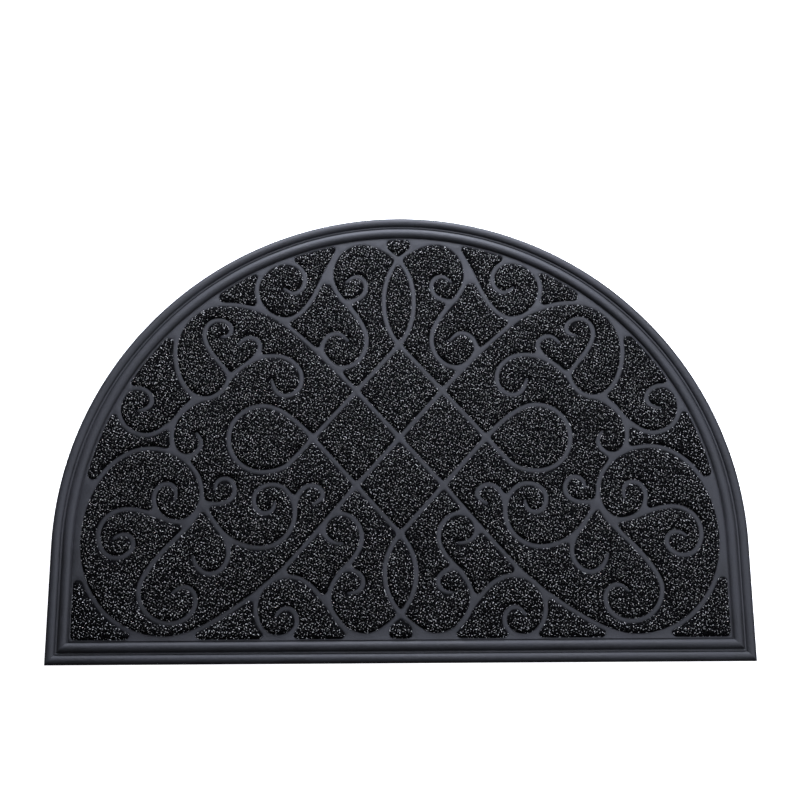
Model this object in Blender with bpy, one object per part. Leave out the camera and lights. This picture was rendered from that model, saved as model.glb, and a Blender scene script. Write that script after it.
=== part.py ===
"""Half-round doormat: a moulded rubber base with a double-bead rim, and pile panels between scrolling lines.

Sizes and places are in millimetres, in the mat's own frame: +X across, +Y from the straight edge to the
round one, +Z up, with z = 0 on the floor and the origin under the middle of the mat. Objects are in metres.
"""

import math

import bmesh
import bpy
import numpy as np

MM = 0.001

# The outline: a half circle standing on a short rectangle
WIDTH = 600.0
DEPTH = 400.0
ARC_RADIUS = WIDTH / 2
ARC_CENTRE_Y = DEPTH / 2 - ARC_RADIUS
FRONT_Y = -DEPTH / 2
ARC_SEGMENTS = 56

# The rubber's section
FLOOR_Z = 2.5
BEAD_Z = 6.0
VALLEY_Z = 3.4
OUTER_SIDE_Z = 3.0
OUTER_BEAD_WIDTH = 8.5
VALLEY_WIDTH = 1.4
INNER_BEAD_WIDTH = 8.6
BEAD_STEPS = 6

# The pile panels
LYING_GAP = 0.3
PILE_TOP_Z = 6.8
LEDGE_WIDTH = 2.4
PILE_MARGIN = OUTER_BEAD_WIDTH + VALLEY_WIDTH + INNER_BEAD_WIDTH + LEDGE_WIDTH
PILE_CORNER = 2.4

# The lines between the panels
LINE_WIDTH = 4.4
TIP_WIDTH = 3.0
TAPER_LENGTH = 12.0

# The diamond lattice in the middle, and the pointed ovals above and below it
LATTICE_Y = -5.5
CELL_HALF_WIDTH = 38.0
CELL_HALF_HEIGHT = 42.5
LATTICE_TOP_Y = LATTICE_Y + 2 * CELL_HALF_HEIGHT
LATTICE_BOTTOM_Y = LATTICE_Y - 2 * CELL_HALF_HEIGHT
LATTICE_LEFT_X = -2 * CELL_HALF_WIDTH
OVAL_HALF_WIDTH = 13.5
UPPER_OVAL_TOP_Y = 160.0
LOWER_OVAL_BOTTOM_Y = -159.0
CELL_SLOPE = math.degrees(math.atan2(CELL_HALF_HEIGHT, CELL_HALF_WIDTH))

# How finely the lines and the outlines are worked out
LINE_STEP = 1.2
GRID_STEP = 1.0
GRID_MARGIN = 4
REACH = 9.0
OUTLINE_TOLERANCE = 0.25

LATTICE_LINES = {
    # name: stations of one line, each (x, y, heading in degrees)
    "rising": [
        (-LATTICE_LEFT_X, LATTICE_Y, 180 - CELL_SLOPE),
        (0, LATTICE_TOP_Y, 180 - CELL_SLOPE),
    ],
    "crossing": [
        (CELL_HALF_WIDTH, LATTICE_Y - CELL_HALF_HEIGHT, 180 - CELL_SLOPE),
        (-CELL_HALF_WIDTH, LATTICE_Y + CELL_HALF_HEIGHT, 180 - CELL_SLOPE),
    ],
    "falling": [
        (0, LATTICE_BOTTOM_Y, 180 - CELL_SLOPE),
        (LATTICE_LEFT_X, LATTICE_Y, 180 - CELL_SLOPE),
    ],
    "side_loop": [
        (LATTICE_LEFT_X, LATTICE_Y, 180 - CELL_SLOPE),
        (-120, 24, 180),
        (-150, LATTICE_Y, 270),
        (-120, -35.5, 0),
        (-98, -29.5, 33),
        (LATTICE_LEFT_X, LATTICE_Y, CELL_SLOPE),
    ],
    "upper_oval": [
        (0, LATTICE_TOP_Y, 180 - CELL_SLOPE),
        (-OVAL_HALF_WIDTH, (LATTICE_TOP_Y + UPPER_OVAL_TOP_Y) / 2, 90),
        (0, UPPER_OVAL_TOP_Y, CELL_SLOPE),
    ],
    "lower_oval": [
        (0, LATTICE_BOTTOM_Y, 180 + CELL_SLOPE),
        (-OVAL_HALF_WIDTH, (LATTICE_BOTTOM_Y + LOWER_OVAL_BOTTOM_Y) / 2, 270),
        (0, LOWER_OVAL_BOTTOM_Y, 360 - CELL_SLOPE),
    ],
}

WEBS = {
    # name: stations of a short line that blunts a panel's narrow tip, each (x, y, heading in degrees)
    "upper_bud_cheek": [
        (-12.7, 181, 270),
        (-12.2, 171, 270),
    ],
    "lower_bud_cheek": [
        (-12, -181, 90),
        (-11.5, -171, 90),
    ],
    "side_wedge_end": [
        (-279, -43.5, 0),
        (-269, -42.5, 0),
    ],
    "shoulder_fan_end": [
        (-66, 139, 0),
        (-62, 139, 0),
    ],
    "shoulder_wedge_end": [
        (-163.5, 119, 90),
        (-163.5, 133, 90),
    ],
    "side_end": [
        (-214, 88.5, 0),
        (-198, 88.5, 0),
    ],
    "corner_wedge_end": [
        (-282, -127, 0),
        (-274, -127, 0),
    ],
}

SCROLLS = {
    # name: stations of one scroll of the left half, from its root to its free eye
    "crown": [
        (0, UPPER_OVAL_TOP_Y, 135),
        (-33, 176.5, 180),
        (-61, 146, 270),
        (-48, 119, 313),
        (-29, 84, 270),
        (-51, 58.5, 180),
        (-62, 64, 134),
        (-69, 75, 90),
        (-56, 90.5, 0),
        (-46, 84, 310),
    ],
    "crown_curl": [
        (-52, 122.5, 318),
        (-42, 121, 10),
        (-29.5, 134, 90),
        (-38.5, 144, 180),
        (-47, 139, 225),
    ],
    "shoulder": [
        (-53, 174, 247),
        (-71, 137, 248),
        (-101, 104, 180),
        (-128, 133, 90),
        (-118, 152, 42),
        (-102, 158, 0),
        (-84.5, 141, 270),
        (-95, 128.5, 180),
        (-103, 133, 140),
    ],
    "upper_ring": [
        (-CELL_HALF_WIDTH, LATTICE_Y + CELL_HALF_HEIGHT, 180 - CELL_SLOPE),
        (-100, 98, 140),
        (-158, 118.5, 180),
        (-199.5, 76, 270),
        (-172, 31, 0),
        (-151, 50, 80),
        (-160, 64, 132),
        (-174, 90, 90),
        (-162, 103.5, 0),
        (-150, 94, 270),
        (-158, 88, 170),
    ],
    "upper_heart": [
        (-151, 48, 80),
        (-138, 61, 38),
        (-112, 70, 0),
        (-86.5, 48, 270),
        (-101, 33, 180),
        (-113, 47, 100),
    ],
    "heart_curl": [
        (-136, 62, 38),
        (-124, 79, 95),
        (-134, 87, 180),
        (-143, 81, 235),
    ],
    "side_ring": [
        (-168, 31, 180),
        (-193, 17, 228),
        (-222, -2, 180),
        (-247.5, 22, 90),
        (-233, 41, 0),
        (-218.5, 29, 270),
        (-230, 20.5, 180),
    ],
    "side_curl": [
        (-184, 27.5, 214),
        (-200, -3, 270),
        (-187, -21, 0),
        (-174, -9, 90),
        (-178, -1, 125),
    ],
    "corner_ring": [
        (-CELL_HALF_WIDTH, LATTICE_Y - CELL_HALF_HEIGHT, 180 + CELL_SLOPE),
        (-103, -123, 226),
        (-158, -164, 211),
        (-200, -178.5, 180),
        (-277, -95, 90),
        (-218, -14, 0),
        (-172, -56, 270),
        (-192, -79, 180),
        (-213.5, -58, 90),
        (-202.5, -45.5, 0),
        (-195, -59, 250),
    ],
    "corner_spiral": [
        (-176, -72, 226),
        (-190, -79.5, 172),
        (-236, -67.5, 180),
        (-260, -90, 270),
        (-244, -110, 0),
        (-229.5, -98, 90),
        (-238, -89.5, 180),
        (-246, -93, 225),
    ],
    "corner_drop": [
        (-172, -60, 268),
        (-188, -88, 224),
        (-223.5, -138, 270),
        (-196, -166, 0),
        (-174.5, -147, 90),
        (-185, -135, 180),
        (-194, -140, 228),
    ],
    "inner_drop": [
        (-172, -60, 285),
        (-155, -87, 308),
        (-147.5, -106, 270),
        (-163, -124, 180),
        (-178, -109, 100),
    ],
    "inner_ring": [
        (-158, -84, 312),
        (-121, -102, 0),
        (-91, -72, 90),
        (-111, -46.5, 180),
        (-127, -60, 270),
        (-117, -72, 0),
        (-108.5, -62, 95),
    ],
    "inner_curl": [
        (-91, -68, 90),
        (-77, -47.5, 0),
        (-67, -56, 270),
        (-75, -64, 205),
    ],
    "nook_curl": [
        (-171, -61, 320),
        (-158, -63.5, 0),
        (-143.5, -52, 90),
        (-152, -41, 180),
        (-160.5, -50, 280),
    ],
    "foot": [
        (0, LOWER_OVAL_BOTTOM_Y, 225),
        (-29, -177, 180),
        (-61, -144, 90),
        (-46, -117.5, 45),
        (-33, -94, 90),
        (-52, -72.5, 180),
        (-66, -87, 270),
        (-50, -98.5, 5),
    ],
    "foot_curl": [
        (-52, -123, 42),
        (-43, -121, 350),
        (-32, -132, 270),
        (-44, -141, 175),
    ],
    "instep": [
        (-44, -176, 128),
        (-73, -138.5, 132),
        (-97, -126.5, 180),
        (-123.5, -153, 270),
        (-105, -178, 0),
        (-88, -165, 90),
        (-97, -153.5, 180),
        (-106, -160, 240),
    ],
}

# One point inside each panel, for its name; a left one has a twin on the right
MIDDLE_PANELS = {
    "pile_diamond_top": (0, 37),
    "pile_diamond_bottom": (0, -48),
    "pile_upper_oval": (0, 120),
    "pile_lower_oval": (0, -125),
    "pile_top_bud": (0, 174),
    "pile_bottom_bud": (0, -175),
}
SIDE_PANELS = {
    "pile_diamond": (-38, -5),
    "pile_side_loop": (-120, -5),
    "pile_crown": (-35, 160),
    "pile_shoulder_fan": (-70, 100),
    "pile_shoulder": (-105, 145),
    "pile_shoulder_wedge": (-140, 128),
    "pile_great_scroll": (-180, 60),
    "pile_side": (-215, 60),
    "pile_side_wedge": (-240, -10),
    "pile_corner_wedge": (-265, -165),
    "pile_foot_wedge": (-140, -170),
    "pile_instep": (-105, -140),
    "pile_foot_fan": (-75, -110),
    "pile_foot": (-30, -160),
}


def clear_scene():
    for old in list(bpy.data.objects):
        bpy.data.objects.remove(old, do_unlink=True)


def plain_material(name, colour, roughness):
    material = bpy.data.materials.new(name)
    material.use_nodes = True
    shader = material.node_tree.nodes["Principled BSDF"]
    shader.inputs["Base Color"].default_value = (*colour, 1)
    shader.inputs["Roughness"].default_value = roughness
    shader.inputs["Metallic"].default_value = 0
    return material


def direction(heading):
    return np.array([math.cos(math.radians(heading)), math.sin(math.radians(heading))])


def turn_between(first, second):
    """The angle from one heading to the next, from -180 to 180 degrees."""
    return (second - first + 180) % 360 - 180


def handles(start, end):
    """The two handle lengths that make a smooth arc between stations, round or oval."""
    gap = np.array(end[:2]) - np.array(start[:2])
    ahead, behind = direction(start[2]), direction(end[2])
    turn = abs(math.radians(turn_between(start[2], end[2])))
    across = ahead[0] * behind[1] - ahead[1] * behind[0]
    if abs(across) > 0.05:
        first = (gap[0] * behind[1] - gap[1] * behind[0]) / across
        second = (ahead[0] * gap[1] - ahead[1] * gap[0]) / across
        if first > 0 and second > 0:
            share = 4 / 3 * math.tan(turn / 4) / math.tan(turn / 2)
            return first * share, second * share
    return (np.linalg.norm(gap) * 0.36,) * 2


def line_through(stations):
    """Points along the smooth line through a list of (x, y, heading) stations."""
    points = [np.array(stations[0][:2], float)]
    for start, end in zip(stations, stations[1:]):
        a, d = np.array(start[:2], float), np.array(end[:2], float)
        first, second = handles(start, end)
        b, c = a + first * direction(start[2]), d - second * direction(end[2])
        count = max(2, math.ceil(np.linalg.norm(d - a) * 1.15 / LINE_STEP))
        for t in np.linspace(0, 1, count + 1)[1:]:
            s = 1 - t
            points.append(s**3 * a + 3 * s * s * t * b + 3 * s * t * t * c + t**3 * d)
    return np.array(points)


def half_widths(points, tapered):
    """Half of the line's width at each point: a scroll thins towards its eye."""
    if not tapered:
        return np.full(len(points), LINE_WIDTH / 2)
    steps = np.linalg.norm(np.diff(points, axis=0), axis=1)
    to_end = np.concatenate([np.cumsum(steps[::-1])[::-1], [0]])
    share = np.clip(to_end / TAPER_LENGTH, 0, 1)
    return (TIP_WIDTH + (LINE_WIDTH - TIP_WIDTH) * share) / 2


def grid_axes():
    """The grid's x and y values; x is the same on both sides of 0."""
    across = np.arange(-WIDTH / 2 - GRID_MARGIN, WIDTH / 2 + GRID_MARGIN + GRID_STEP / 2, GRID_STEP)
    up = np.arange(FRONT_Y - GRID_MARGIN, DEPTH / 2 + GRID_MARGIN + GRID_STEP / 2, GRID_STEP)
    return across, up


def stamp(field, across, up, points, radii):
    """Lowers the field to each grid point's distance from the line, less the line's half width."""
    for a, b, ra, rb in zip(points, points[1:], radii, radii[1:]):
        low, high = np.minimum(a, b) - REACH, np.maximum(a, b) + REACH
        i0, i1 = np.searchsorted(across, (low[0], high[0]))
        j0, j1 = np.searchsorted(up, (low[1], high[1]))
        x, y = across[None, i0:i1] - a[0], up[j0:j1, None] - a[1]
        run = b - a
        share = np.clip((x * run[0] + y * run[1]) / max(run @ run, 1e-12), 0, 1)
        gap = np.hypot(x - share * run[0], y - share * run[1]) - (ra + share * (rb - ra))
        field[j0:j1, i0:i1] = np.minimum(field[j0:j1, i0:i1], gap)


def inset_from_edge(x, y):
    """How far inside the mat's outline a point is."""
    round_part = ARC_RADIUS - np.hypot(x, np.maximum(y - ARC_CENTRE_Y, 0))
    return np.minimum(round_part, y - FRONT_Y)


def rubber_distance(across, up):
    """Each grid point's distance from the bare rubber: the lines, and the margin inside the rim."""
    field = np.full((len(up), len(across)), REACH)
    for stations in [*LATTICE_LINES.values(), *WEBS.values()]:
        points = line_through(stations)
        stamp(field, across, up, points, half_widths(points, tapered=False))
    for stations in SCROLLS.values():
        points = line_through(stations)
        stamp(field, across, up, points, half_widths(points, tapered=True))
    field = np.minimum(field, field[:, ::-1])
    margin = inset_from_edge(across[None, :], up[:, None]) - PILE_MARGIN
    return np.minimum(field, margin)


# For each set of a grid cell's corners that are inside: the sides that the outline enters and leaves by
CELL_CROSSINGS = {
    1: [("bottom", "left")],
    2: [("right", "bottom")],
    3: [("right", "left")],
    4: [("top", "right")],
    5: [("top", "left"), ("bottom", "right")],
    6: [("top", "bottom")],
    7: [("top", "left")],
    8: [("left", "top")],
    9: [("bottom", "top")],
    10: [("right", "top"), ("left", "bottom")],
    11: [("right", "top")],
    12: [("left", "right")],
    13: [("bottom", "right")],
    14: [("left", "bottom")],
}


def outlines_where_positive(field, across, up):
    """The closed outlines of the places where the field is above zero."""
    inside = (field > 0).astype(int)
    kind = inside[:-1, :-1] + 2 * inside[:-1, 1:] + 4 * inside[1:, 1:] + 8 * inside[1:, :-1]
    sides = {"bottom": (0, 0, 0), "top": (1, 0, 0), "left": (0, 0, 1), "right": (0, 1, 1)}
    follows = {}
    for j, i in np.argwhere((kind > 0) & (kind < 15)):
        for enter, leave in CELL_CROSSINGS[kind[j, i]]:
            keys = [(j + sides[s][0], i + sides[s][1], sides[s][2]) for s in (enter, leave)]
            follows[keys[0]] = keys[1]

    def crossing(key):
        j, i, upright = key
        j2, i2 = (j + 1, i) if upright else (j, i + 1)
        share = field[j, i] / (field[j, i] - field[j2, i2])
        return (
            across[i] + share * (across[i2] - across[i]),
            up[j] + share * (up[j2] - up[j]),
        )

    loops = []
    while follows:
        key, following = follows.popitem()
        loop = [crossing(key)]
        while following in follows:
            loop.append(crossing(following))
            following = follows.pop(following)
        loops.append(np.array(loop))
    return loops


def thinned(loop, within):
    """The closed loop with only the points that its shape needs."""
    far = int(np.argmax(np.linalg.norm(loop - loop[0], axis=1)))
    ring = np.concatenate([loop, loop[:1]])
    keep = {0, far}
    todo = [(0, far), (far, len(loop))]
    while todo:
        a, b = todo.pop()
        if b - a < 2:
            continue
        run, rest = ring[b] - ring[a], ring[a + 1 : b] - ring[a]
        share = np.clip(rest @ run / max(run @ run, 1e-12), 0, 1)
        away = np.linalg.norm(rest - share[:, None] * run, axis=1)
        worst = int(away.argmax())
        if away[worst] > within:
            keep.add(a + 1 + worst)
            todo += [(a, a + 1 + worst), (a + 1 + worst, b)]
    return loop[sorted(keep)]


def panel_outlines():
    """The pile panels' outlines: what the rubber leaves free, with every corner rounded."""
    across, up = grid_axes()
    free = rubber_distance(across, up)
    cores = outlines_where_positive(free - PILE_CORNER, across, up)
    from_cores = np.full(free.shape, REACH)
    for core in cores:
        ring = np.concatenate([core, core[:1]])
        stamp(from_cores, across, up, ring, np.zeros(len(ring)))
    grown = PILE_CORNER - np.where(free > PILE_CORNER, -from_cores, from_cores)
    loops = outlines_where_positive(grown, across, up)
    return [thinned(loop, OUTLINE_TOLERANCE) for loop in loops]


def holds(loop, point):
    """Whether the point is inside the closed loop."""
    x, y = point
    a, b = loop, np.roll(loop, -1, axis=0)
    spans = (a[:, 1] > y) != (b[:, 1] > y)
    with np.errstate(divide="ignore", invalid="ignore"):
        at = a[:, 0] + (y - a[:, 1]) / (b[:, 1] - a[:, 1]) * (b[:, 0] - a[:, 0])
    return bool(np.sum(spans & (at > x)) % 2)


def named_panels():
    """Panel name to outline, each right one being the left one's mirror image."""
    loops = panel_outlines()

    def loop_around(place):
        return next(loop for loop in loops if holds(loop, place))

    found = {name: loop_around(place) for name, place in MIDDLE_PANELS.items()}
    for name, place in SIDE_PANELS.items():
        left = loop_around(place)
        found[name + "_left"] = left
        found[name + "_right"] = left[::-1] * (-1, 1)
    if len(found) != len(loops):
        raise ValueError(f"{len(loops)} outlines for {len(found)} names")
    return found


def add_panel(name, outline, collection, material):
    """One pile panel: its outline, as thick as the pile stands."""
    bottom = FLOOR_Z + LYING_GAP
    curve = bpy.data.curves.new(name, "CURVE")
    curve.dimensions = "2D"
    curve.fill_mode = "BOTH"
    curve.extrude = (PILE_TOP_Z - bottom) / 2 * MM
    spline = curve.splines.new("POLY")
    spline.points.add(len(outline) - 1)
    for point, (x, y) in zip(spline.points, outline):
        point.co = (x * MM, y * MM, 0, 1)
    spline.use_cyclic_u = True
    curve.materials.append(material)
    panel = bpy.data.objects.new(name, curve)
    panel.location.z = (PILE_TOP_Z + bottom) / 2 * MM
    collection.objects.link(panel)


def outline_of_base():
    """The mat's outer edge, anticlockwise from the front left corner."""
    angles = np.linspace(0, math.pi, ARC_SEGMENTS + 1)
    arc = [(ARC_RADIUS * math.cos(a), ARC_CENTRE_Y + ARC_RADIUS * math.sin(a)) for a in angles]
    return [(-WIDTH / 2, FRONT_Y), (WIDTH / 2, FRONT_Y), *arc]


def bead_section(width, foot_from, foot_to):
    """Steps (inwards, up) over one half-round bead of the rim, from its outer foot to its inner foot."""
    angles = np.linspace(0, math.pi, BEAD_STEPS + 1)
    along = (1 - np.cos(angles)) / 2 * width
    feet = np.where(angles < math.pi / 2, foot_from, foot_to)
    heights = feet + (BEAD_Z - feet) * np.sin(angles)
    return list(zip(np.diff(along), np.diff(heights)))


def rim_section():
    """Steps (inwards, up) from the outer edge to the floor inside the rim."""
    return [
        *bead_section(OUTER_BEAD_WIDTH, OUTER_SIDE_Z, VALLEY_Z),
        (VALLEY_WIDTH, 0),
        *bead_section(INNER_BEAD_WIDTH, VALLEY_Z, FLOOR_Z),
    ]


def add_base(collection, material):
    """The rubber moulding: the outline raised to its edge height, then stepped inwards over the two beads."""
    mesh = bpy.data.meshes.new("rubber_base")
    solid = bmesh.new()
    edge = [solid.verts.new((x * MM, y * MM, 0)) for x, y in outline_of_base()]
    underside = solid.faces.new(edge)
    raised = bmesh.ops.extrude_face_region(solid, geom=[underside])["geom"]
    risen = [v for v in raised if isinstance(v, bmesh.types.BMVert)]
    bmesh.ops.translate(solid, verts=risen, vec=(0, 0, OUTER_SIDE_Z * MM))
    top = next(f for f in raised if isinstance(f, bmesh.types.BMFace))
    bmesh.ops.recalc_face_normals(solid, faces=solid.faces)
    for inwards, upwards in rim_section():
        bmesh.ops.inset_region(
            solid,
            faces=[top],
            thickness=inwards * MM,
            depth=upwards * MM,
            use_even_offset=True,
            use_boundary=True,
        )
    solid.to_mesh(mesh)
    solid.free()
    mesh.materials.append(material)
    base = bpy.data.objects.new("rubber_base", mesh)
    collection.objects.link(base)
    mesh.shade_smooth()
    mesh.set_sharp_from_angle(angle=math.radians(40))


def main():
    clear_scene()
    collection = bpy.data.collections.new("half_round_doormat")
    bpy.context.scene.collection.children.link(collection)
    rubber = plain_material("black_moulded_rubber", (0.035, 0.037, 0.047), 0.55)
    pile = plain_material("black_needled_pile", (0.008, 0.008, 0.009), 0.8)
    add_base(collection, rubber)
    for name, outline in named_panels().items():
        add_panel(name, outline, collection, pile)


main()
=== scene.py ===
import math

import bpy
import numpy as np
from mathutils import Matrix, Vector
from mathutils.geometry import delaunay_2d_cdt
from mathutils.kdtree import KDTree


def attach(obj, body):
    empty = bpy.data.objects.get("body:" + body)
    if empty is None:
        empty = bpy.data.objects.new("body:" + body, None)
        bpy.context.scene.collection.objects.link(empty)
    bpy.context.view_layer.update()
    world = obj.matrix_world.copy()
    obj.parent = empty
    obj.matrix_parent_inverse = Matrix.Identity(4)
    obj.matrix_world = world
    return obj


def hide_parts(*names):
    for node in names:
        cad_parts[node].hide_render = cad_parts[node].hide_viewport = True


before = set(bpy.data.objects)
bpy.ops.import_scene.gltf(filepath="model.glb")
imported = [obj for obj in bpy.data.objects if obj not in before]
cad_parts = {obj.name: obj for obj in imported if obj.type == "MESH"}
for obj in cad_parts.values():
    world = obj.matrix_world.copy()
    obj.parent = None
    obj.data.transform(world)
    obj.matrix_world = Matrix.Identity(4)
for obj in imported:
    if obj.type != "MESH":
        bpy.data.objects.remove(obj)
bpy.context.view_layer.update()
mm = 0.001
placeDigits = 3  # points are one and the same where they agree to this many decimals of a mm
evenSpread = np.array([0.754878, 0.569840])  # steps that fill a unit range evenly over a grid
print("frame loaded:", len(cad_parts), "nodes")


def hexColour(code):
    # sRGB hex to the linear colour that a shader wants
    parts = [int(code[i:i + 2], 16) / 255 for i in (1, 3, 5)]
    return [p / 12.92 if p <= 0.04045 else ((p + 0.055) / 1.055) ** 2.4 for p in parts] + [1.0]


def perMetre(sizeMm):
    # the texture scale that makes one feature this many mm wide
    return 1 / (sizeMm * mm)


def addNode(material, kind, settings=None, inputs=None):
    # an input is named or numbered, and takes a value or a link given as (node, output)
    node = material.node_tree.nodes.new("ShaderNode" + kind)
    for key, value in (settings or {}).items():
        setattr(node, key, value)
    for key, value in (inputs or {}).items():
        if isinstance(value, tuple) and isinstance(value[0], bpy.types.Node):
            material.node_tree.links.new(value[0].outputs[value[1]], node.inputs[key])
        else:
            node.inputs[key].default_value = value
    return node


def addRamp(material, factor, stops):
    # a colour ramp over the factor, with its stops as (position, colour) from first to last
    node = addNode(material, "ValToRGB", None, {0: factor})
    elements = node.color_ramp.elements
    for element, (position, code) in zip(elements, (stops[0], stops[-1])):
        element.position = position
        element.color = hexColour(code)
    for position, code in stops[1:-1]:
        elements.new(position).color = hexColour(code)
    return node


def newMaterial(name):
    material = bpy.data.materials.new(name)
    material.use_nodes = True
    material.node_tree.nodes.clear()
    return material


def newPiece(name, points, faceGroups, material):
    # points are in mm, and each face group is an array of corner numbers, one row per face
    corners = np.concatenate([np.ravel(group) for group in faceGroups]).astype(np.int32)
    sizes = np.concatenate([np.full(len(group), np.shape(group)[1]) for group in faceGroups])
    starts = np.concatenate([[0], np.cumsum(sizes)[:-1]]).astype(np.int32)
    mesh = bpy.data.meshes.new(name)
    mesh.vertices.add(len(points))
    mesh.vertices.foreach_set("co", (np.asarray(points) * mm).ravel())
    mesh.loops.add(len(corners))
    mesh.loops.foreach_set("vertex_index", corners)
    mesh.polygons.add(len(sizes))
    mesh.polygons.foreach_set("loop_start", starts)
    mesh.update(calc_edges=True)
    mesh.validate()
    mesh.shade_smooth()
    mesh.materials.append(material)
    piece = bpy.data.objects.new(name, mesh)
    bpy.context.scene.collection.objects.link(piece)
    return piece


def edgeLoop(node):
    # the line round a packed panel's top face, anticlockwise, in mm
    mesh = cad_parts[node].data
    spots = [tuple(round(c / mm, placeDigits) for c in v.co) for v in mesh.vertices]
    top = max(spot[2] for spot in spots)
    edges = set()
    for face in mesh.polygons:
        ring = [spots[i] for i in face.vertices]
        if any(top - spot[2] > 0.01 for spot in ring):  # a side or the underside
            continue
        for pair in zip(ring, ring[1:] + ring[:1]):
            if pair[::-1] in edges:
                edges.remove(pair[::-1])
            else:
                edges.add(pair)
    onward = dict(edges)
    loop = [min(onward)]
    while onward[loop[-1]] != loop[0]:
        loop.append(onward[loop[-1]])
    if len(loop) != len(edges):
        raise ValueError(f"{node}: its top face has more than one edge line")
    return np.array(loop)[:, :2]


def smoothLoop(corners, step, turnStep, sharpTurn):
    # A soft curve through the corners, with a point every step mm, or turnStep degrees where it bends.
    # A corner that turns by more than sharpTurn degrees stays a corner.
    ahead = np.roll(corners, -1, 0) - corners
    length = np.hypot(ahead[:, 0], ahead[:, 1])
    unit = ahead / length[:, None]
    before = np.roll(unit, 1, 0)
    across = np.roll(corners, -1, 0) - np.roll(corners, 1, 0)
    heading = across / np.hypot(across[:, 0], across[:, 1])[:, None]
    turn = np.degrees(np.arccos(np.clip(np.sum(unit * before, 1), -1, 1)))
    sharp = turn > sharpTurn
    bend = np.where(sharp, 0, turn)
    bend = (bend + np.roll(bend, -1)) / 2
    leaving = np.where(sharp[:, None], unit, heading)
    arriving = np.where(np.roll(sharp, -1)[:, None], unit, np.roll(heading, -1, 0))
    points = []
    for i, start in enumerate(corners):
        count = max(1, round(length[i] / step), math.ceil(bend[i] / turnStep))
        t = (np.arange(count) / count)[:, None]
        points.append(
            start + (3 * t**2 - 2 * t**3) * ahead[i]
            + length[i] * ((t**3 - 2 * t**2 + t) * leaving[i] + (t**3 - t**2) * arriving[i]))
    return np.concatenate(points)


def pushed(loop, outwards):
    # the loop moved outwards by that many mm
    along = np.roll(loop, -1, 0) - np.roll(loop, 1, 0)
    along /= np.hypot(along[:, 0], along[:, 1])[:, None]
    return loop + outwards * np.column_stack([along[:, 1], -along[:, 0]])


def inside(loop, spots):
    # which spots lie within the loop
    within = np.zeros(len(spots), bool)
    ends = np.roll(loop, -1, 0)
    for (x0, y0), (x1, y1) in zip(loop, ends):
        if y0 == y1:
            continue
        level = (spots[:, 1] >= min(y0, y1)) & (spots[:, 1] < max(y0, y1))
        crossing = x0 + (spots[:, 1] - y0) * (x1 - x0) / (y1 - y0)
        within ^= level & (spots[:, 0] < crossing)
    return within


def distanceTo(loop, spots):
    # from each spot to the loop's nearest point
    tree = KDTree(len(loop))
    for i, (x, y) in enumerate(loop):
        tree.insert((x, y, 0), i)
    tree.balance()
    return np.array([tree.find((x, y, 0))[2] for x, y in spots])


def stacked(rings, heights):
    # the points of all the rings, and the faces between each ring and the next
    count = len(rings[0])
    points = np.concatenate([
        np.column_stack([ring, np.full(count, height)]) for ring, height in zip(rings, heights)])
    across = np.arange(count)
    onwards = (across + 1) % count
    strips = np.concatenate([
        np.column_stack([across, onwards, onwards + count, across + count]) + k * count
        for k in range(len(rings) - 1)])
    return points, strips


def filled(rings, heights, newHeight, loosePoints=np.zeros((0, 2)), looseHeights=np.zeros(0)):
    # triangles over all that the first ring encloses, through every ring and loose point
    flat = np.concatenate([*rings, loosePoints])
    levels = np.concatenate([np.full(len(ring), h) for ring, h in zip(rings, heights)] + [looseHeights])
    edges = []
    first = 0
    for ring in rings:
        count = len(ring)
        edges += [(first + i, first + (i + 1) % count) for i in range(count)]
        first += count
    spots, _, faces, came, _, _ = delaunay_2d_cdt([Vector(p) for p in flat], edges, [], 1, 1e-5)
    points = [(s.x, s.y, levels[c[0]] if c else newHeight) for s, c in zip(spots, came)]
    return np.array(points), np.array(faces)


def joined(ring, ringStart, spots, newStart):
    # Numbers for a fill's spots: one that lies on the ring takes the ring's number, any other a new one.
    # The new ones' points come with them.
    known = {tuple(np.round(p, placeDigits)): ringStart + i for i, p in enumerate(ring)}
    numbers = []
    added = []
    for x, y, z in spots:
        number = known.get((round(x, placeDigits), round(y, placeDigits)))
        if number is None:
            number = newStart + len(added)
            added.append((x, y, z))
        numbers.append(number)
    return np.array(numbers), np.array(added).reshape(-1, 3)


def scattered(loop, spacing, jitter, rng):
    # One spot in each square of a grid over the loop, moved off the square's middle by chance. Each gets a
    # rank from 0 to 1 as well, spread so evenly that no two high ones are close together.
    low, high = loop.min(0), loop.max(0)
    columns, rows = np.ceil((high - low) / spacing).astype(int) + 1
    column, row = np.meshgrid(np.arange(columns), np.arange(rows))
    grid = np.column_stack([column.ravel(), row.ravel()])
    rank = (grid @ evenSpread) % 1
    spots = low + (grid + rng.uniform(-jitter, jitter, grid.shape)) * spacing
    kept = inside(loop, spots)
    return spots[kept], rank[kept]


def alongRing(ring, spacing):
    # spots at even steps along the ring, and the angle that it runs at there
    ahead = np.roll(ring, -1, 0) - ring
    reach = np.concatenate([[0], np.cumsum(np.hypot(ahead[:, 0], ahead[:, 1]))])
    stops = np.arange(0, reach[-1], spacing)
    at = np.clip(np.searchsorted(reach, stops, "right") - 1, 0, len(ring) - 1)
    share = (stops - reach[at]) / np.diff(reach)[at]
    return ring[at] + ahead[at] * share[:, None], np.arctan2(ahead[at, 1], ahead[at, 0])


fieldLine = dict(step=3.0, turnStep=14, sharpTurn=60)  # mm, degrees, degrees

print("reading the outlines of the fields")
fields = {}
for nodeName in sorted(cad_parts):
    if nodeName.startswith("pile_"):
        fields[nodeName.removeprefix("pile_")] = smoothLoop(edgeLoop(nodeName), **fieldLine)
print("outline points:", sum(len(loop) for loop in fields.values()))


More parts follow.
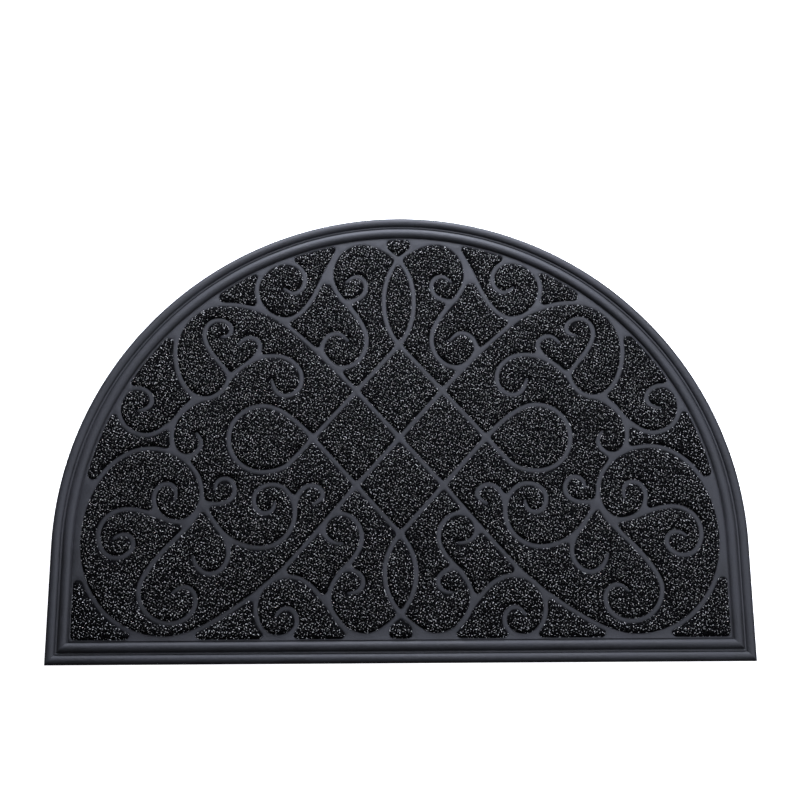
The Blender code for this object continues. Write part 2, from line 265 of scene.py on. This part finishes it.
rubberMat = dict(  # mm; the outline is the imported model's, and the rim a finer form of its rim
    width=600.0, depth=400.0, arcRadius=300.0, arcSteps=180,
    foot=[(0.6, 0.0), (0.18, 0.18), (0.0, 0.6)],  # (inset, height), here and in the ledge
    outerBead=8.0, sideTop=2.6,
    ledge=[(8.2, 3.6), (8.4, 3.9), (9.4, 3.9), (9.8, 3.7), (10.0, 3.1)],
    innerStart=10.3, innerBead=8.2, beadSteps=20, beadTop=6.2, beadFoot=3.1,
    grooveWidth=0.4, grooveHeight=2.45,
    grooveEdge=[(0.25, 2.75), (0.6, 3.0)],  # (inwards from the groove, height)
    lineHeight=3.0,  # on the bare lines between the fields
    lineEdge=[(0.0, 2.5), (0.25, 2.7), (0.6, 2.89), (1.0, 3.0)],  # (outwards from the field, height)
    hardTurn=50,  # degrees; a sharper edge is shaded as a crease
)


def mouldedRubber():
    # Black rubber compound, moulded under heat in a sand-blasted steel tool: near black and satin, with a
    # fine grain that breaks up its sheen, and a little dust and bloom that varies it from place to place.
    # The real grain is too fine to show, so it is drawn coarser, at 1.8 mm.
    rubber = newMaterial("blackMouldedRubber")
    place = addNode(rubber, "TexCoord")
    grain = addNode(rubber, "TexNoise", None, {
        "Vector": (place, "Object"), "Scale": perMetre(1.8), "Detail": 3.0, "Roughness": 0.7})
    bloom = addNode(rubber, "TexNoise", None, {
        "Vector": (place, "Object"), "Scale": perMetre(30), "Detail": 4.0, "Roughness": 0.55})
    mixed = addNode(rubber, "Math", {"operation": "MULTIPLY_ADD"}, {
        0: (bloom, "Fac"), 1: 0.7, 2: (grain, "Fac")})
    colour = addRamp(rubber, (mixed, "Value"), [(0.6, "#0d0d0f"), (1.0, "#222226")])
    gloss = addNode(rubber, "MapRange", None, {
        "Value": (mixed, "Value"), "From Min": 0.65, "From Max": 1.05, "To Min": 0.6, "To Max": 0.74})
    relief = addNode(rubber, "Bump", None, {
        "Strength": 0.8, "Distance": 0.35 * mm, "Height": (grain, "Fac")})
    surface = addNode(rubber, "BsdfPrincipled", None, {
        "Base Color": (colour, "Color"), "Roughness": (gloss, "Result"), "Normal": (relief, "Normal"),
        "IOR": 1.52, "Specular IOR Level": 0.5})
    addNode(rubber, "OutputMaterial", None, {"Surface": (surface, "BSDF")})
    return rubber


def matOutline(inset):
    # anticlockwise from the front left corner, this far inside the outer edge
    half = rubberMat["width"] / 2 - inset
    front = inset - rubberMat["depth"] / 2
    radius = rubberMat["arcRadius"] - inset
    centre = rubberMat["depth"] / 2 - rubberMat["arcRadius"]
    angles = np.linspace(0, math.pi, rubberMat["arcSteps"] + 1)
    arc = np.column_stack([radius * np.cos(angles), centre + radius * np.sin(angles)])
    return np.vstack([[(-half, front), (half, front)], arc])


def beadProfile(start, width, footFrom, footTo):
    # (inset, height) over one half-round bead
    turn = np.linspace(0, math.pi, rubberMat["beadSteps"] + 1)
    foot = np.where(turn < math.pi / 2, footFrom, footTo)
    rise = foot + (rubberMat["beadTop"] - foot) * np.sin(turn)
    return list(zip(start + (1 - np.cos(turn)) / 2 * width, rise))


def buildRubber(material):
    r = rubberMat
    grooveEnd = r["innerStart"] + r["innerBead"] + r["grooveWidth"]
    profile = [
        *r["foot"],
        *beadProfile(0.0, r["outerBead"], r["sideTop"], r["beadFoot"]),
        *r["ledge"],
        *beadProfile(r["innerStart"], r["innerBead"], r["beadFoot"], r["grooveHeight"]),
        (grooveEnd, r["grooveHeight"]),
        *[(grooveEnd + inwards, height) for inwards, height in r["grooveEdge"]],
    ]
    rings = [matOutline(inset) for inset, _ in profile]
    count = len(rings[0])
    sides, strips = stacked(rings, [height for _, height in profile])
    underside = np.arange(count)[::-1][None, :]

    # the top runs from the rim's last ring through the soft edges of the lines and down into the fields
    loops = [rings[-1]]
    levels = [r["lineHeight"]]
    for loop in fields.values():
        for outwards, height in reversed(r["lineEdge"]):
            loops.append(pushed(loop, outwards))
            levels.append(height)
    spots, faces = filled(loops, levels, r["lineHeight"])
    numbers, added = joined(rings[-1], len(sides) - count, spots, len(sides))
    points = np.concatenate([sides, added])
    piece = newPiece("rubberMat", points, [strips, underside, numbers[faces]], material)

    # hard turns stay crisp, and so do the front mitres, at the first two points of every ring
    mesh = piece.data
    mesh.set_sharp_from_angle(angle=math.radians(r["hardTurn"]))
    hard = mesh.attributes["sharp_edge"].data
    for edge in mesh.edges:
        a, b = edge.vertices
        if a < len(sides) and b < len(sides) and a % count == b % count and a % count < 2:
            hard[edge.index].value = True
    return piece


rubberPiece = buildRubber(mouldedRubber())
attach(rubberPiece, "root")
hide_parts("rubber_base")
print("rubber:", len(rubberPiece.data.polygons), "faces")


pileBed = dict(  # mm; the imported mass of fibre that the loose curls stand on
    profile=[(-0.3, 2.56), (-0.05, 2.9), (-0.4, 3.4), (-1.2, 3.8)],  # (outwards, height)
    lumpInset=1.8, lumpSpacing=3.0, lumpJitter=0.4, lumpHeight=(4.2, 5.0),
)

pileCurls = dict(  # mm, and jitter as a share of the spacing
    seed=4100, ringPoints=3, inset=0.5, spacing=1.1, jitter=0.48,
    length=(1.4, 2.6), girth=(0.22, 0.34), top=(5.4, 6.75), droop=(0.3, 1.3), bend=0.3,
    shoulder=4.6, shoulderDrop=3.5,  # the pile is worn round along the field's edge
    edgeInset=0.05, edgeSpacing=1.1, edgeHeight=(3.0, 3.9), edgeLength=(1.4, 2.4), edgeTurn=0.5,  # radians
    # a chance spread in how light each curl's painted glint is
    glintToneSpread=0.06,
)
pointsPerCurl = pileCurls["ringPoints"] + 2  # a tip, a ring, a tip


def curledFibre():
    # Black polypropylene fibre, extruded and crimped: the real one is black all through and shiny, and shows
    # as black with short bright glints. Here the glints are drawn in the colour and aren't reflections: about
    # two curls in three are black, and about one in nine is light grey to near white.
    fibre = newMaterial("crimpedPolypropyleneFibre")
    tone = addNode(fibre, "Attribute", {"attribute_name": "fibreTone"})
    colour = addRamp(fibre, (tone, "Fac"), [
        (0.0, "#020203"), (0.65, "#030303"), (0.77, "#2d2d2c"), (0.89, "#b4b3b0"), (1.0, "#fdfcfa")])
    surface = addNode(fibre, "BsdfPrincipled", None, {
        "Base Color": (colour, "Color"), "Roughness": 0.4, "IOR": 1.49, "Specular IOR Level": 0.05})
    addNode(fibre, "OutputMaterial", None, {"Surface": (surface, "BSDF")})
    return fibre


def packedFibre():
    # The same fibre needled into a dense felt: nearly all light is lost between its strands, so it is
    # almost black and dull, with a tangle of about 1 mm.
    felt = newMaterial("needledPolypropyleneFelt")
    place = addNode(felt, "TexCoord")
    tangle = addNode(felt, "TexNoise", None, {
        "Vector": (place, "Object"), "Scale": perMetre(1.1), "Detail": 4.0, "Roughness": 0.7})
    colour = addRamp(felt, (tangle, "Fac"), [(0.4, "#020203"), (0.75, "#0a0a0b")])
    relief = addNode(felt, "Bump", None, {
        "Strength": 0.9, "Distance": 0.5 * mm, "Height": (tangle, "Fac")})
    surface = addNode(felt, "BsdfPrincipled", None, {
        "Base Color": (colour, "Color"), "Normal": (relief, "Normal"), "Roughness": 0.85,
        "IOR": 1.49, "Specular IOR Level": 0.05})
    addNode(felt, "OutputMaterial", None, {"Surface": (surface, "BSDF")})
    return felt


def buildBed(name, loop, material, rng):
    rings = [pushed(loop, outwards) for outwards, _ in pileBed["profile"]]
    heights = [height for _, height in pileBed["profile"]]
    points, strips = stacked(rings, heights)

    lumps, _ = scattered(
        pushed(loop, -pileBed["lumpInset"]), pileBed["lumpSpacing"], pileBed["lumpJitter"], rng)
    lumpHeights = rng.uniform(*pileBed["lumpHeight"], len(lumps))
    spots, faces = filled([rings[-1]], [heights[-1]], heights[-1], lumps, lumpHeights)
    numbers, added = joined(rings[-1], len(points) - len(loop), spots, len(points))
    points = np.concatenate([points, added])
    top = numbers[faces]

    spots, faces = filled([rings[0]], [heights[0]], heights[0])
    numbers, added = joined(rings[0], 0, spots, len(points))
    points = np.concatenate([points, added])
    underside = numbers[faces][:, ::-1]
    return newPiece("bed_" + name, points, [strips, top, underside], material)


def buildCurls(name, loop, material, rng):
    c = pileCurls
    spots, rank = scattered(pushed(loop, -c["inset"]), c["spacing"], c["jitter"], rng)
    heading = rng.uniform(0, 2 * math.pi, len(spots))
    length = rng.uniform(*c["length"], len(spots))
    top = rng.uniform(*c["top"], len(spots))
    top -= c["shoulderDrop"] * np.clip(1 - distanceTo(loop, spots) / c["shoulder"], 0, 1) ** 2

    # a second lot stands along the field's edge, lying mostly along it
    edgeSpots, edgeAngle = alongRing(pushed(loop, -c["edgeInset"]), c["edgeSpacing"])
    edgeCount = len(edgeSpots)
    spots = np.concatenate([spots, edgeSpots])
    heading = np.concatenate([heading, edgeAngle + rng.normal(0, c["edgeTurn"], edgeCount)])
    length = np.concatenate([length, rng.uniform(*c["edgeLength"], edgeCount)])
    top = np.concatenate([top, rng.uniform(*c["edgeHeight"], edgeCount)])

    count = len(spots)
    droop = rng.uniform(*c["droop"], (count, 2))
    bend = rng.normal(0, c["bend"], (count, 2))
    girth = rng.uniform(*c["girth"], count)
    roll = rng.uniform(0, 2 * math.pi / c["ringPoints"], count)
    forth = np.column_stack([np.cos(heading), np.sin(heading), np.zeros(count)])
    side = np.column_stack([-np.sin(heading), np.cos(heading), np.zeros(count)])
    rise = np.array([0.0, 0.0, 1.0])
    centre = np.column_stack([spots, top - girth])
    half = length[:, None] / 2

    points = np.zeros((count, pointsPerCurl, 3))
    points[:, 0] = centre - half * forth + bend[:, :1] * side - droop[:, :1] * rise
    points[:, -1] = centre + half * forth + bend[:, 1:] * side - droop[:, 1:] * rise
    oneCurl = []
    for k in range(c["ringPoints"]):
        angle = roll + k * 2 * math.pi / c["ringPoints"]
        out = np.cos(angle)[:, None] * side + np.sin(angle)[:, None] * rise
        points[:, 1 + k] = centre + girth[:, None] * out
        n = (k + 1) % c["ringPoints"]
        oneCurl += [(0, 1 + n, 1 + k), (1 + k, 1 + n, pointsPerCurl - 1)]
    starts = np.arange(count)[:, None, None] * pointsPerCurl
    faces = (np.array(oneCurl)[None] + starts).reshape(-1, 3)
    piece = newPiece("curls_" + name, points.reshape(-1, 3), [faces], material)

    # the painted glints: each curl's rank, with a little chance added, sets how light it is painted, from
    # black up to near white
    rank = np.concatenate([rank, rng.uniform(0, 1, edgeCount)])
    shade = np.clip(rank + rng.normal(0, c["glintToneSpread"], count), 0, 1)
    tone = piece.data.attributes.new("fibreTone", "FLOAT", "POINT")
    tone.data.foreach_set("value", np.repeat(shade, pointsPerCurl))
    return piece


fibre = curledFibre()
felt = packedFibre()
curlCount = 0
for number, (name, loop) in enumerate(fields.items()):
    rng = np.random.default_rng(pileCurls["seed"] + number)
    bed = buildBed(name, loop, felt, rng)
    curls = buildCurls(name, loop, fibre, rng)
    for piece in (bed, curls):
        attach(piece, "root")
    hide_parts("pile_" + name)
    curlCount += len(curls.data.vertices) // pointsPerCurl
print("fields:", len(fields), "with", curlCount, "curls")
sizes = [sum(len(face.vertices) - 2 for face in piece.data.polygons)
         for piece in bpy.context.scene.objects if piece.type == "MESH" and not piece.hide_render]
print("triangles:", sum(sizes), "and", max(sizes), "in the largest piece")


studio = dict(  # metres, watts
    floorSize=40.0, wallHeight=3.0, floorColour="#ffffff", floorGlow=1.0,
    worldColour="#f4f6fb", worldStrength=0.05,
    lamps=[  # name, place, aimed at, size, watts, colour
        ("farSoftbox", (0.0, 0.9, 0.43), (0.0, 0.05, 0.0), (0.75, 0.8), 36.5, "#e8eeff"),
        ("rightFill", (0.75, 0.0, 0.85), (0.0, 0.0, 0.0), (1.0, 1.0), 10.8, "#e8eeff"),
    ],
)


def buildFloor():
    # a shadowless white ground that throws no light on the mat, with a low wall that keeps low views white
    paint = newMaterial("matteFloorPaint")
    surface = addNode(paint, "BsdfPrincipled", None, {
        "Base Color": hexColour(studio["floorColour"]), "Roughness": 0.9, "Specular IOR Level": 0.2,
        "Emission Color": hexColour(studio["floorColour"]), "Emission Strength": studio["floorGlow"]})
    addNode(paint, "OutputMaterial", None, {"Surface": (surface, "BSDF")})
    half = studio["floorSize"] / 2 / mm
    wallTop = studio["wallHeight"] / mm
    square = [(-half, -half), (half, -half), (half, half), (-half, half)]
    points = [(x, y, z) for z in (0, wallTop) for x, y in square]
    walls = [(0, 1, 5, 4), (1, 2, 6, 5), (2, 3, 7, 6), (3, 0, 4, 7)]
    floor = newPiece("floor", points, [[(0, 1, 2, 3), *walls]], paint)
    floor.visible_diffuse = False
    floor.visible_glossy = False


def buildStudio():
    scene = bpy.context.scene
    scene.view_settings.view_transform = "Standard"
    world = bpy.data.worlds.new("paleRoom")
    world.use_nodes = True
    background = world.node_tree.nodes["Background"]
    background.inputs["Color"].default_value = hexColour(studio["worldColour"])
    background.inputs["Strength"].default_value = studio["worldStrength"]
    scene.world = world
    buildFloor()
    for name, place, target, size, watts, colour in studio["lamps"]:
        light = bpy.data.lights.new(name, "AREA")
        light.shape = "RECTANGLE"
        light.size, light.size_y = size
        light.energy = watts
        light.color = hexColour(colour)[:3]
        lamp = bpy.data.objects.new(name, light)
        lamp.location = place
        lamp.rotation_euler = (Vector(target) - Vector(place)).to_track_quat("-Z", "Y").to_euler()
        scene.collection.objects.link(lamp)


buildStudio()
print("studio built")


photoView = dict(  # the photograph's camera, fitted to the mat's outline
    place=(-0.00726, -0.27102, 1.1579), near=0.01,  # metres
    tilt=14.55, pan=-0.3753, roll=-0.2875,  # degrees off straight down
    lens=60.75, sensor=36.0,  # mm
)


def buildCamera():
    camera = bpy.data.cameras.new("photoCamera")
    camera.lens = photoView["lens"]
    camera.sensor_width = photoView["sensor"]
    camera.clip_start = photoView["near"]
    holder = bpy.data.objects.new("photoCamera", camera)
    turns = [math.radians(photoView[key]) for key in ("tilt", "pan", "roll")]
    tilted = Matrix.Rotation(turns[0], 3, "X")
    panned = Matrix.Rotation(turns[1], 3, "Y")
    rolled = Matrix.Rotation(turns[2], 3, "Z")
    holder.matrix_world = Matrix.Translation(photoView["place"]) @ (tilted @ panned @ rolled).to_4x4()
    bpy.context.scene.collection.objects.link(holder)
    bpy.context.scene.camera = holder


buildCamera()
print("camera placed")
bpy.context.view_layer.update()
